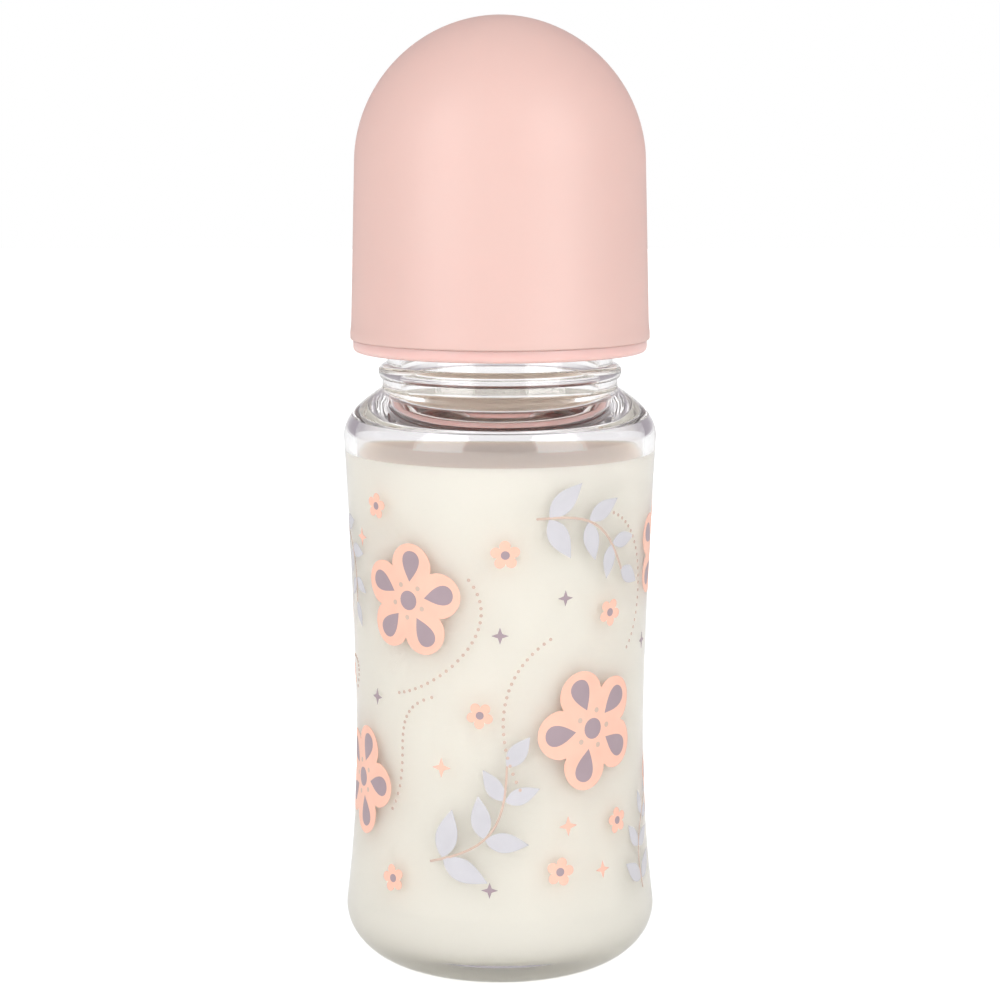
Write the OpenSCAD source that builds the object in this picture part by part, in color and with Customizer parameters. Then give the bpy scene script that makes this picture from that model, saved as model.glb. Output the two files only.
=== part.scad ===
// Wide-neck baby bottle: waisted glass bottle, milk fill, silicone teat,
// screw ring and protective cap.
// Millimetres. +Z up, origin at the middle of the foot that the bottle stands on.

/* [Glass body] */
// Radius of the heel, the widest part near the foot
heel_r = 32; // [28:0.1:38.5]
// Height of the rounded heel
heel_h = 11; // [7:0.5:16]
// Width of the rounded heel, measured in from the side
heel_w = 13; // [9:0.5:15.5]
// Radius of the waist
waist_r = 29.7; // [27:0.1:32]
// Height of the waist above the foot
waist_z = 48; // [38:1:60]
// Radius of the body where the shoulder starts
shoulder_r = 31.8; // [28.5:0.1:38.2]
// Height at which the shoulder starts
shoulder_z = 108.5; // [88:0.5:135]
// Height of the shoulder, from its start to the straight neck
shoulder_h = 10.8; // [9:0.1:13]
// Lean of the shoulder from the vertical where it meets the neck
shoulder_lean = 56; // [45:1:65]
// Glass thickness of the side and the shoulder
glass_wall = 2.3; // [1.8:0.1:3]
// Glass thickness of the floor, above the foot
floor_t = 6.5; // [4:0.1:8]
// Radius of the rounded corner inside, between floor and side
inner_corner = 9; // [5:0.5:12]
// Radius of the hollow under the foot
push_up_r = 14; // [8:0.5:15]
// Depth of the hollow under the foot
push_up_h = 1.2; // [0.6:0.1:1.6]

/* [Neck and thread] */
// Outside radius of the neck where it carries the thread
finish_r = 22.9; // [19:0.1:27.5]
// Glass thickness of the threaded neck
neck_wall = 2.6; // [2:0.1:3.4]
// How much wider the neck is below the bead
neck_step = 1; // [0.5:0.1:1.5]
// How far the bead stands out of the neck
bead_out = 0.8; // [0.4:0.1:1.2]
// Height of the bead
bead_h = 3; // [2:0.1:3.6]
// Height of the bead's middle above the foot of the neck
bead_rise = 2.8; // [2:0.1:3.6]
// How far the thick glass at the neck's foot reaches down inside, below that foot
root_depth = 5.6; // [4.5:0.1:6.5]
// Rounding of the lip's two edges
lip_round = 0.8; // [0.4:0.1:1]
// Rise of the thread in one turn
pitch = 4.5; // [3.8:0.1:5.4]
// Turns of the glass thread
glass_turns = 1.5; // [1:0.25:1.75]
// How far the glass thread stands out of the neck
thread_out = 1.4; // [1:0.1:1.7]
// Width of a thread at its foot
thread_foot_w = 2.1; // [1.6:0.1:2.4]
// Width of a thread at its crest
thread_crest_w = 1; // [0.6:0.1:1.3]
// Depth of the glass thread's middle below the lip, at its top end
thread_drop = 4.2; // [3.5:0.1:5]
// Gap between a thread's crest and the wall that it faces
crest_gap = 0.5; // [0.35:0.05:0.8]
// Gap between the two threads where the closed ring bears
flank_gap = 0.3; // [0.2:0.05:0.5]

/* [Milk] */
// Depth of the milk's surface below the shoulder's start
milk_drop = 3.5; // [1:0.5:60]
// Gap between the milk and the glass side
milk_gap = 0.05; // [0.02:0.01:0.2]

/* [Teat] */
// Thickness of the flange, clamped between the lip and the ring
flange_t = 1.8; // [1.2:0.1:2.5]
// Gap between the flange's rim and the ring
flange_gap = 0.5; // [0.3:0.1:0.8]
// Silicone thickness above the flange
teat_wall = 1.8; // [1.2:0.1:2.4]
// Gap round the teat where it passes through the ring
groove_gap = 0.4; // [0.2:0.1:0.6]
// How far the teat's base spreads over the ring's hole
base_spread = 1.2; // [0.6:0.1:2.5]
// Height of the teat's wide base, up to the nipple
base_h = 19; // [15:0.5:23]
// Radius of the nipple where it leaves the base
nipple_r = 7.5; // [6:0.1:9]
// Radius of the nipple below its tip
nipple_top_r = 7.9; // [6:0.1:9.5]
// Height of the nipple's straight part
nipple_h = 11; // [8:0.5:14]
// Height of the rounded tip
tip_h = 6.5; // [4:0.5:8]
// Radius of the feeding hole
feed_hole_r = 0.4; // [0.2:0.05:0.8]
// Width of the air channel under the flange
vent_w = 1.2; // [0.8:0.1:2]
// Depth of the air channel under the flange
vent_h = 0.6; // [0.3:0.1:0.8]

/* [Screw ring] */
// Thickness of the ring's side, between its bore and its ribs
ring_wall = 2.7; // [2:0.1:3.4]
// How far the grip ribs stand out
rib_out = 0.45; // [0.3:0.05:0.8]
// Number of grip ribs
rib_count = 60; // [36:2:80]
// How far the ring reaches below the glass lip
ring_skirt = 17.2; // [14.5:0.1:21]
// Gap between the bead and the closed ring
bead_gap = 2.4; // [1:0.1:4]
// Thickness of the ring's top plate
plate_t = 1.8; // [1.4:0.1:2.4]
// How far the plate reaches in over the teat's flange
plate_reach = 5.4; // [4.4:0.1:6.5]
// Height of the flange that carries the cap
rim_h = 2.5; // [2:0.1:3.2]
// How far the flange stays inside the cap's outline
rim_inset = 0.45; // [0.2:0.05:0.8]
// Rounding of the flange's lower edge
rim_round = 1.1; // [0.5:0.1:1.6]
// Height of the collar that centres the cap
collar_h = 2; // [1:0.1:3]
// Gap between the collar and the cap
collar_gap = 0.3; // [0.2:0.05:0.5]
// Turns of the ring's thread
ring_turns = 1.25; // [1:0.25:1.5]

/* [Cap] */
// Thickness of the cap
cap_wall = 1.3; // [1:0.1:2]
// Gap between the cap and the ribs at the ring's top
cap_gap = 0.5; // [0.3:0.1:1]
// Gap between the teat's tip and the cap
tip_gap = 8.1; // [4:0.1:15]
// Draft of the cap's side in degrees
cap_draft = 1.5; // [0:0.1:2]
// Height of the dome
dome_h = 29.3; // [26:0.1:36]
// Roundness of the dome; 2 is an ellipse
dome_power = 1.97; // [1.8:0.01:2.3]
// Height of the thicker lip at the cap's open end
cap_lip_h = 1.6; // [1:0.1:3]
// How far the lip stands out
cap_lip_out = 0.12; // [0.05:0.01:0.4]

/* [Hidden] */
$fn = 96;

glass_colour = [0.86, 0.9, 0.9, 0.35];
milk_colour = [0.96, 0.94, 0.9];
silicone_colour = [0.93, 0.92, 0.9, 0.7];
ring_colour = [0.95, 0.74, 0.69];
cap_colour = [0.96, 0.8, 0.76, 0.85];

// Steps along a small edge rounding, an arc or curve, a long one, the dome, and a side
edge_steps = 5;
arc_steps = 8;
long_steps = 2 * arc_steps;
dome_steps = 3 * arc_steps;
side_steps = 10;
// Steps in one turn of a thread, and those over which its ridge fades out
thread_steps = 48;
thread_fade = 10;

// Glass: how the upper side widens, the shoulder's two curve pulls, and the fillet into the neck
side_power = 1.6;
shoulder_pull = 4.6;
neck_pull = 4;
neck_fillet = 1.2;
// Thick glass at the neck's foot: how far its underside falls on its way out, how far below that the side's
// wall ends, the bend's place on the way from the bore to the side, and the roundings of bend and bore
root_fall = 0.8;
root_blend = 1.1;
root_bend = 0.6;
bend_round = 3;
bore_round = 1;
// Thread: how deep its foot lies in the wall, and how deep its crest ends
thread_embed = 0.5;
thread_end_depth = 0.2;
// Teat: the base's upright edge, underside edge and inner sill, and its curve's pulls, as shares of base_h
base_edge_h = 1;
base_edge_w = 0.6;
base_sill = 0.5;
base_pull = 0.75;
nipple_pull = 0.45;
// Ring: rounding of the top edge, lead-in of the bore, and half widths of a rib as shares of its pitch
top_edge = 0.8;
lead_in = 0.6;
rib_foot = 0.3;
rib_crest = 0.16;
// How far a cutting shape runs past what it cuts, and the least step between heights
spare = 1;
tiny = 0.01;

// Heights, worked out from the foot upwards
milk_z = shoulder_z - milk_drop;
neck_z = shoulder_z + shoulder_h;
root_z = neck_z - root_depth;
side_end_z = root_z - root_fall - root_blend;
bead_z = neck_z + bead_rise;
ring_z = bead_z + bead_h / 2 + bead_gap;
lip_z = ring_z + ring_skirt;
plate_z = lip_z + flange_t;
ring_top_z = plate_z + plate_t;
cap_z = ring_z + rim_h;
teat_z = ring_top_z + groove_gap;
shaft_z = teat_z + base_h + nipple_h;
tip_z = shaft_z + tip_h;
dome_z = tip_z + tip_gap + cap_wall - dome_h;

// Radii, worked out from the neck outwards
neck_r = finish_r + neck_step;
mouth_r = finish_r - neck_wall;
bore_r = finish_r + thread_out + crest_gap;
ring_hole_r = bore_r - plate_reach;
barrel_r = bore_r + ring_wall;
draft_in = tan(cap_draft);
cap_in_r = barrel_r + rib_out + cap_gap + draft_in * (ring_top_z - cap_z);
cap_r = cap_in_r + cap_wall;
dome_r = cap_r - draft_in * (dome_z - cap_z);
rim_r = cap_r - rim_inset;
collar_r = cap_in_r - draft_in * collar_h - collar_gap;

// Points of an arc about a centre, from one angle to another
function arc(c, rx, ry, a0, a1, n = arc_steps) =
    [for (i = [0:n]) let (a = a0 + (a1 - a0) * i / n) [c.x + rx * cos(a), c.y + ry * sin(a)]];

// Points of a cubic curve from a to d, with the pulls b and c
function curve(a, b, c, d, n = arc_steps) =
    [for (i = [0:n]) let (t = i / n, s = 1 - t) s^3 * a + 3 * s^2 * t * b + 3 * s * t^2 * c + t^3 * d];

// Unit vector to the left of a list of points at its point i
function left_of(p, i) =
    let (d = p[min(i + 1, len(p) - 1)] - p[max(i - 1, 0)]) [-d.y, d.x] / norm(d);

// The same list of points, moved to its left by t
function moved_left(p, t) = [for (i = [0:len(p) - 1]) p[i] + t * left_of(p, i)];

function reversed(p) = [for (i = [len(p) - 1:-1:0]) p[i]];

// Radius at height z along a rising list of points
function r_at(p, z, i = 0) =
    z <= p[i + 1].y || i + 2 >= len(p)
    ? p[i].x + (p[i + 1].x - p[i].x) * (z - p[i].y) / (p[i + 1].y - p[i].y)
    : r_at(p, z, i + 1);

// Points that round a corner between two neighbours, at most size long each way
function rounding(before, corner, after, size) =
    let (a = before - corner, b = after - corner,
        start = corner + a * min(0.5, size / norm(a)), end = corner + b * min(0.5, size / norm(b)))
    [for (i = [0:edge_steps]) let (t = i / edge_steps)
        (1 - t)^2 * start + 2 * t * (1 - t) * corner + t^2 * end];

// Outside of the glass: heel, waist, shoulder and the fillet into the neck
heel_tail = atan(2 * (heel_r - waist_r) / (waist_z - heel_h) * heel_h / heel_w);
heel = arc([heel_r - heel_w, heel_h], heel_w, heel_h, -90, heel_tail, long_steps);
heel_end = heel[len(heel) - 1];
lower_side = [for (i = [1:side_steps]) let (s = i / side_steps)
    [waist_r + (heel_end.x - waist_r) * (1 - s)^2, heel_end.y + (waist_z - heel_end.y) * s]];
upper_side = [for (i = [1:side_steps]) let (s = i / side_steps)
    [waist_r + (shoulder_r - waist_r) * s^side_power, waist_z + (shoulder_z - waist_z) * s]];
side_lean = atan(side_power * (shoulder_r - waist_r) / (shoulder_z - waist_z));
neck_start = [neck_r, neck_z] + neck_fillet * [1 - cos(shoulder_lean), -sin(shoulder_lean)];
shoulder = curve([shoulder_r, shoulder_z],
    [shoulder_r, shoulder_z] + shoulder_pull * [sin(side_lean), cos(side_lean)],
    neck_start + neck_pull * [sin(shoulder_lean), -cos(shoulder_lean)], neck_start);
neck_foot = arc([neck_r + neck_fillet, neck_z], neck_fillet, neck_fillet,
    180 + shoulder_lean, 180, edge_steps);
body_side = concat(lower_side, upper_side, [for (i = [1:len(shoulder) - 1]) shoulder[i]],
    [for (i = [1:len(neck_foot) - 1]) neck_foot[i]]);

// Bead and threaded neck, outside
bead = concat(
    arc([neck_r, bead_z], bead_out, bead_h / 2, -90, 0, edge_steps),
    arc([finish_r, bead_z], neck_r + bead_out - finish_r, bead_h / 2, 0, 90, edge_steps));
lip = concat(
    arc([finish_r - lip_round, lip_z - lip_round], lip_round, lip_round, 0, 90, edge_steps),
    arc([mouth_r + lip_round, lip_z - lip_round], lip_round, lip_round, 90, 180, edge_steps));

// Inside of the glass: the side moved in by the wall, and the rounded corner on the floor
inner_side = moved_left(body_side, glass_wall);
inner_foot_z = floor_t + inner_corner;
inner_rise = [for (p = inner_side) if (p.y > inner_foot_z + tiny && p.y < side_end_z - tiny) p];
inner_foot_r = r_at(inner_side, inner_foot_z);
inner_floor = arc([inner_foot_r - inner_corner, inner_foot_z], inner_corner, inner_corner, -90, 0);
cavity_side = concat(inner_floor, inner_rise);

// Underside of the thick glass at the neck's foot, from the side's wall in to the bore
side_end = [r_at(inner_side, side_end_z), side_end_z];
bore_foot = [mouth_r, root_z];
root_corner = [mouth_r + root_bend * (side_end.x - mouth_r), root_z - root_fall];
root = concat([side_end], rounding(side_end, root_corner, bore_foot, bend_round),
    rounding(root_corner, bore_foot, [mouth_r, lip_z], bore_round));

module glass_bottle() {
    push_up = [for (i = [0:arc_steps]) let (s = i / arc_steps) [push_up_r * s, push_up_h * (1 - s^2)]];
    color(glass_colour) union() {
        rotate_extrude()
            polygon(concat(push_up, heel, body_side, bead, lip, reversed(root),
                reversed(cavity_side), [[0, floor_t]]));
        thread(finish_r, 1, thread_out, glass_turns, lip_z - thread_drop);
    }
}

// Milk up to its level, on the glass floor
module milk() {
    filled = [for (p = cavity_side) if (p.y < milk_z - tiny) [p.x - milk_gap, p.y]];
    color(milk_colour) rotate_extrude()
        polygon(concat([[0, floor_t]], filled,
            [[r_at(cavity_side, milk_z) - milk_gap, milk_z], [0, milk_z]]));
}

// Ridge of a right-hand thread on a wall of radius root_r. side is 1 on a neck and -1 in a bore.
// top_z is the height of its middle at its upper end, which points to +X.
module thread(root_r, side, out, turns, top_z) {
    n = round(turns * thread_steps);
    function grown(i) = let (k = min(1, i / thread_fade, (n - i) / thread_fade)) k * k * (3 - 2 * k);
    function corner(r, i, dz) =
        let (a = 360 * (i - n) / thread_steps)
        [r * cos(a), r * sin(a), top_z + pitch * (i - n) / thread_steps + dz];
    function section(i) =
        let (foot = root_r - side * thread_embed,
            crest = root_r + side * ((out + thread_end_depth) * grown(i) - thread_end_depth))
        [corner(foot, i, -thread_foot_w / 2), corner(crest, i, -thread_crest_w / 2),
            corner(crest, i, thread_crest_w / 2), corner(foot, i, thread_foot_w / 2)];
    points = [for (i = [0:n]) each section(i)];
    walls = [for (i = [0:n - 1], k = [0:3])
        let (a = 4 * i + k, b = 4 * i + (k + 1) % 4)
        each [[a, b, b + 4], [a, b + 4, a + 4]]];
    ends = [[0, 3, 2], [0, 2, 1], [4 * n, 4 * n + 1, 4 * n + 2], [4 * n, 4 * n + 2, 4 * n + 3]];
    faces = concat(walls, ends);
    polyhedron(points, side == 1 ? faces : [for (f = faces) [f[2], f[1], f[0]]]);
}

// Teat: clamped flange, groove in the ring's hole, wide base and nipple
module teat() {
    groove_r = ring_hole_r - groove_gap;
    base_r = ring_hole_r + base_spread;
    neck_r_in = groove_r - teat_wall;
    base = curve([base_r, teat_z + base_edge_h], [base_r, teat_z + base_pull * base_h],
        [nipple_r, teat_z + nipple_pull * base_h], [nipple_r, teat_z + base_h], long_steps);
    tip = arc([0, shaft_z], nipple_top_r, tip_h, 0, 90);
    outside = concat(base, tip);
    inside = moved_left([for (i = [0:len(outside) - 2]) outside[i]], teat_wall);
    flange_r = bore_r - flange_gap;
    color(silicone_colour) difference() {
        rotate_extrude()
            polygon(concat([[neck_r_in, lip_z], [flange_r, lip_z], [flange_r, plate_z], [groove_r, plate_z],
                [groove_r, teat_z], [base_r - base_edge_w, teat_z]], outside,
                [[0, tip_z - teat_wall]], reversed(inside), [[neck_r_in, teat_z + base_sill]]));
        translate([0, 0, tip_z - 2 * teat_wall]) cylinder(h = 3 * teat_wall, r = feed_hole_r);
        translate([-flange_r - spare, -vent_w / 2, lip_z - spare])
            cube([flange_r - neck_r_in + 2 * spare, vent_w, vent_h + spare]);
    }
}

// Outline of the ring's side with its upright grip ribs
module ribbed_side() {
    rib = 360 / rib_count;
    polygon([for (i = [0:rib_count - 1]) each
        [for (p = [[-rib_foot, 0], [-rib_crest, 1], [rib_crest, 1], [rib_foot, 0]])
            let (a = (i + p[0]) * rib, r = barrel_r + rib_out * p[1]) [r * cos(a), r * sin(a)]]]);
}

// Ring: threaded bore, top plate that clamps the teat, ribs, and the flange under the cap
module screw_ring() {
    rim = concat(arc([rim_r - rim_round, ring_z + rim_round], rim_round, rim_round, -90, 0, edge_steps),
        [[rim_r, cap_z], [collar_r, cap_z], [collar_r, cap_z + collar_h], [barrel_r, cap_z + collar_h]]);
    top = arc([barrel_r - top_edge, ring_top_z - top_edge], top_edge, top_edge, 0, 90, edge_steps);
    // The bearing flank of the ring's thread lies flank_gap below the glass thread
    mesh_w = thread_foot_w - (thread_foot_w - thread_crest_w) * (thread_embed + thread_out / 2)
        / (thread_embed + thread_out);
    thread_shift = mesh_w + flank_gap;
    color(ring_colour) union() {
        rotate_extrude()
            polygon(concat([[bore_r + lead_in, ring_z]], rim, top,
                [[ring_hole_r, ring_top_z], [ring_hole_r, plate_z], [bore_r, plate_z],
                    [bore_r, ring_z + lead_in]]));
        translate([0, 0, cap_z + collar_h / 2])
            linear_extrude(ring_top_z - top_edge - cap_z - collar_h / 2)
                difference() {
                    ribbed_side();
                    circle(r = barrel_r - ring_wall / 2);
                }
        thread(bore_r, -1, thread_out, ring_turns, lip_z - thread_drop - thread_shift);
    }
}

// Cap: nearly upright side, dome, and a slightly thicker lip that sits on the ring's flange
module protective_cap() {
    function side_r(z) = cap_r - draft_in * (z - cap_z);
    function dome(r, h) = [for (i = [0:dome_steps]) let (a = 90 * i / dome_steps)
        [r * cos(a)^(2 / dome_power), dome_z + h * sin(a)^(2 / dome_power)]];
    color(cap_colour) rotate_extrude()
        polygon(concat([[cap_in_r, cap_z], [cap_r + cap_lip_out, cap_z],
            [cap_r + cap_lip_out, cap_z + cap_lip_h],
            [side_r(cap_z + 2 * cap_lip_h), cap_z + 2 * cap_lip_h]],
            dome(dome_r, dome_h), reversed(dome(dome_r - cap_wall, dome_h - cap_wall))));
}

glass_bottle();
milk();
teat();
screw_ring();
protective_cap();
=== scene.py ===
import math

import bpy
import numpy as np
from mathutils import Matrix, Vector
from mathutils.geometry import delaunay_2d_cdt

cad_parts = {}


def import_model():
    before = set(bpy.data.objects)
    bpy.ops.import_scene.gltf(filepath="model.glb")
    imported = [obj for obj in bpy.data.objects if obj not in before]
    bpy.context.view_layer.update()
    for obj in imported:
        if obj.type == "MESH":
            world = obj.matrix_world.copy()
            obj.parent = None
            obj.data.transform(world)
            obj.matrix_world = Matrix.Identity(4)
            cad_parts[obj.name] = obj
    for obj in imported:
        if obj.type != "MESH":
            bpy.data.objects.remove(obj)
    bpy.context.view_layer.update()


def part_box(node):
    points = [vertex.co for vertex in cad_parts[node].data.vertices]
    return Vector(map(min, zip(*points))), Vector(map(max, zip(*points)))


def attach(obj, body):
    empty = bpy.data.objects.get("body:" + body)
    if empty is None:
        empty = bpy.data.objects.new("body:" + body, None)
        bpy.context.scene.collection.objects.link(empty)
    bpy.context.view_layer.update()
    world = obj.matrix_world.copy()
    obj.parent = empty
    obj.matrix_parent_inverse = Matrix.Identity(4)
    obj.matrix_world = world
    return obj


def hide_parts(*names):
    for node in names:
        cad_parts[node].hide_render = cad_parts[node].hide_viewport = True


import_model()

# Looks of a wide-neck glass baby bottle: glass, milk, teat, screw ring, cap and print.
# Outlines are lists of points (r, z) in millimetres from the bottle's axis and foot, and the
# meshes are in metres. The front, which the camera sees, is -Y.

MM = 0.001
# Distances in millimetres within which a point counts as on a surface, on the axis, or as the one before
ON_SURFACE, ON_AXIS, SAME_POINT = 0.01, 1e-6, 1e-4


def box_mm(node):
    """Lowest and highest corner of a CAD node, in millimetres."""
    low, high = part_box(node)
    return low / MM, high / MM


# ---------------------------------------------------------------- sizes, in millimetres

GLASS_HIGH = box_mm("glass_bottle")[1]
MILK_LOW, MILK_HIGH = box_mm("milk")
TEAT_HIGH = box_mm("teat")[1]
RING_LOW, RING_HIGH = box_mm("screw_ring")
CAP_LOW, CAP_HIGH = box_mm("protective_cap")

# Glass body, as in the CAD model
HEEL_R, HEEL_H, HEEL_W = GLASS_HIGH.x, 11.0, 13.0
WAIST_R, WAIST_Z = 29.7, 48.0
SHOULDER_R, SHOULDER_Z = 31.8, 108.5
SHOULDER_LEAN = math.radians(56)
# Pulls of the shoulder's curve at its two ends, and the power by which the side widens over the waist
SHOULDER_PULL, NECK_PULL = 4.6, 4.0
SIDE_POWER = 1.6
GLASS_WALL = 2.3
FLOOR_Z = MILK_LOW.z
INNER_CORNER = 9.0
PUSH_UP_R, PUSH_UP_H = 14.0, 1.2
# Neck
FINISH_R, NECK_R, MOUTH_R = 22.9, 23.9, 20.3
NECK_Z, NECK_FILLET = 119.3, 1.2
# Thick glass at the neck's foot, inside: height of its underside at the bore, its fall on the way out,
# how far below that the side's wall ends, the bend's place on the way out, and the roundings
ROOT_Z, ROOT_FALL, ROOT_BLEND, ROOT_BEND = NECK_Z - 5.6, 0.8, 1.1, 0.6
BEND_ROUND, BORE_ROUND = 3.0, 1.0
SIDE_END_Z = ROOT_Z - ROOT_FALL - ROOT_BLEND
BEAD_Z, BEAD_H, BEAD_OUT = 122.1, 3.0, 0.8
LIP_Z, LIP_ROUND = GLASS_HIGH.z, 0.8
# Right-hand threads, which start at +X at their highest: how far a ridge stands out, how wide it is at
# its foot and its crest, the turns, and the share of a turn in which a ridge grows from nothing
PITCH, THREAD_OUT, THREAD_FOOT, THREAD_CREST = 4.5, 1.4, 2.1, 1.0
GLASS_TURNS, RING_TURNS, THREAD_FADE = 1.5, 1.25, 0.21
GLASS_THREAD_Z = LIP_Z - 4.2
RING_THREAD_Z = GLASS_THREAD_Z - 1.85
# Milk: how far it reaches into the glass, so that it wets the wall, and how it climbs the wall
MILK_WET, MENISCUS_H, MENISCUS_W = 0.15, 0.9, 1.3
# Rings of points on the milk's top, and the power that crowds them towards its edge
MILK_RINGS, MILK_CROWDING = 60, 0.6
# Teat
FLANGE_R, PLATE_Z = TEAT_HIGH.x, 145.0
TEAT_WALL = 1.8
GROOVE_R, TEAT_BASE_R, TEAT_BASE_Z, TEAT_BASE_H = 19.0, 20.6, 147.2, 19.0
TEAT_RIM_H, FLANGE_ROUND, GROOVE_ROUND, TEAT_RIM_ROUND = 1.0, 0.4, 0.3, 0.7
# Shares of the base's height at which its side's curve has its pulls, over its foot and under the nipple
TEAT_FOOT_PULL, TEAT_TOP_PULL = 0.75, 0.45
NIPPLE_R, NIPPLE_TOP_R, NIPPLE_H = 7.5, 7.9, 11.0
TIP_Z, FEED_HOLE_R = TEAT_HIGH.z, 0.4
# Air channel under the teat's flange
VENT_W, VENT_H = 1.2, 0.6
# Ring
RING_Z, RING_TOP_Z = RING_LOW.z, RING_HIGH.z
RING_HOLE_R, BORE_R, BARREL_R = 19.4, 24.8, 27.5
RIM_R, COLLAR_R, COLLAR_H = RING_HIGH.x, 28.58, 2.0
RIM_ROUND, SEAT_EDGE_ROUND, SEAT_ROUND, COLLAR_ROUND, BARREL_FOOT_ROUND = 1.1, 0.25, 0.15, 0.3, 0.2
RING_CHAMFER, RING_FOOT_ROUND, RING_TOP_ROUND, HOLE_ROUND, PLATE_ROUND = 0.6, 0.2, 0.8, 0.5, 0.3
# Plain stretch of the bore under the plate, and of the top beside its rounding
PLAIN_BORE, PLAIN_TOP = 1.0, 0.2
# Ribs: their fade at both ends, and how steep their sides and how wide the valleys between them are
RIB_COUNT, RIB_OUT, RIB_FADE, RIB_STEEP, RIB_VALLEY = 60, 0.45, 0.6, 1.6, 0.3
# Cap
CAP_Z, CAP_TOP_Z = CAP_LOW.z, CAP_HIGH.z
CAP_LIP_R, CAP_LIP_OUT, CAP_LIP_H = CAP_HIGH.x, 0.12, 1.6
CAP_WALL, CAP_DRAFT = 1.3, math.tan(math.radians(1.5))
CAP_EDGE_ROUND, CAP_RIM_ROUND, CAP_LIP_ROUND, CAP_LIP_BLEND, CAP_EDGE_H = 0.25, 0.4, 0.5, 0.8, 0.5
# Dome: a superellipse of this power
DOME_H, DOME_POWER = 29.3, 1.97

# Mesh steps: points round a piece, points for each rib, and heights between points on threads, ribs
# and the teat's inside
SEGMENTS, RIB_SEGMENTS = 192, 8
THREAD_STEP, RIB_STEP, SILL_STEP = 0.2, 0.5, 0.6


# ---------------------------------------------------------------- outlines

def arc(centre, rx, rz, start, end, steps=12):
    """Points of an arc about centre, from one angle to another in degrees."""
    a = np.radians(np.linspace(start, end, steps + 1))
    return np.column_stack([centre[0] + rx * np.cos(a), centre[1] + rz * np.sin(a)])


def curve(a, b, c, d, steps=24):
    """Points of a cubic curve from a to d, with the pulls b and c."""
    t = np.linspace(0, 1, steps + 1)[:, None]
    a, b, c, d = (np.array(p, float) for p in (a, b, c, d))
    return (1 - t) ** 3 * a + 3 * (1 - t) ** 2 * t * b + 3 * (1 - t) * t**2 * c + t**3 * d


def joined(*runs):
    """Runs of points as one, without points that repeat the one before."""
    points = np.vstack([np.reshape(run, (-1, 2)) for run in runs])
    step = np.linalg.norm(np.diff(points, axis=0), axis=1)
    return points[np.r_[True, step > SAME_POINT]]


def moved_left(points, t):
    """The same points, moved by t to the left of their way."""
    way = np.gradient(points, axis=0)
    left = np.column_stack([-way[:, 1], way[:, 0]])
    return points + t * left / np.linalg.norm(left, axis=1)[:, None]


def rounded(corners, steps=5):
    """Points through corners (r, z, rounding); every corner with a rounding becomes a small curve."""
    out = []
    for i, (r, z, size) in enumerate(corners):
        here = np.array([r, z])
        if not size:
            out.append(here)
            continue
        before = np.array(corners[i - 1][:2]) - here
        after = np.array(corners[(i + 1) % len(corners)][:2]) - here
        a = here + before * min(0.5, size / np.linalg.norm(before))
        b = here + after * min(0.5, size / np.linalg.norm(after))
        for t in np.linspace(0, 1, steps + 1):
            out.append((1 - t) ** 2 * a + 2 * t * (1 - t) * here + t**2 * b)
    return np.array(out)


def upright(r, low, high, step):
    """Points up or down a cylinder's side, a step apart."""
    count = max(1, round(abs(high - low) / step))
    return np.column_stack([np.full(count + 1, r), np.linspace(low, high, count + 1)])


def glass_side():
    """Outside of the glass from the foot ring to the neck: heel, waist, shoulder and neck fillet."""
    lean = 2 * (HEEL_R - WAIST_R) / (WAIST_Z - HEEL_H)
    tail = math.degrees(math.atan(lean * HEEL_H / HEEL_W))
    heel = arc((HEEL_R - HEEL_W, HEEL_H), HEEL_W, HEEL_H, -90, tail, steps=40)
    s = np.linspace(0, 1, 25)
    end_r, end_z = heel[-1]
    lower = np.column_stack([WAIST_R + (end_r - WAIST_R) * (1 - s) ** 2, end_z + (WAIST_Z - end_z) * s])
    s = np.linspace(0, 1, 41)
    upper = np.column_stack([WAIST_R + (SHOULDER_R - WAIST_R) * s**SIDE_POWER,
                             WAIST_Z + (SHOULDER_Z - WAIST_Z) * s])
    side_lean = math.atan(SIDE_POWER * (SHOULDER_R - WAIST_R) / (SHOULDER_Z - WAIST_Z))
    sin, cos = math.sin(SHOULDER_LEAN), math.cos(SHOULDER_LEAN)
    top = np.array([NECK_R + NECK_FILLET * (1 - cos), NECK_Z - NECK_FILLET * sin])
    shoulder = curve((SHOULDER_R, SHOULDER_Z),
                     (SHOULDER_R + SHOULDER_PULL * math.sin(side_lean),
                      SHOULDER_Z + SHOULDER_PULL * math.cos(side_lean)),
                     top + NECK_PULL * np.array([sin, -cos]), top)
    fillet = arc((NECK_R + NECK_FILLET, NECK_Z), NECK_FILLET, NECK_FILLET,
                 180 + math.degrees(SHOULDER_LEAN), 180, steps=8)
    return joined(heel, lower, upper, shoulder, fillet)


def cavity_side():
    """Inside of the glass, from the middle of the floor up to the thick glass at the neck's foot."""
    side = glass_side()
    inner = moved_left(side[side[:, 1] > HEEL_H], GLASS_WALL)
    foot_z = FLOOR_Z + INNER_CORNER
    foot_r, end_r = np.interp((foot_z, SIDE_END_Z), inner[:, 1], inner[:, 0])
    corner = arc((foot_r - INNER_CORNER, foot_z), INNER_CORNER, INNER_CORNER, -90, 0, steps=24)
    rise = inner[(inner[:, 1] > foot_z) & (inner[:, 1] < SIDE_END_Z - ON_SURFACE)]
    return joined([(0, FLOOR_Z)], corner, rise, [(end_r, SIDE_END_Z)])


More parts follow.
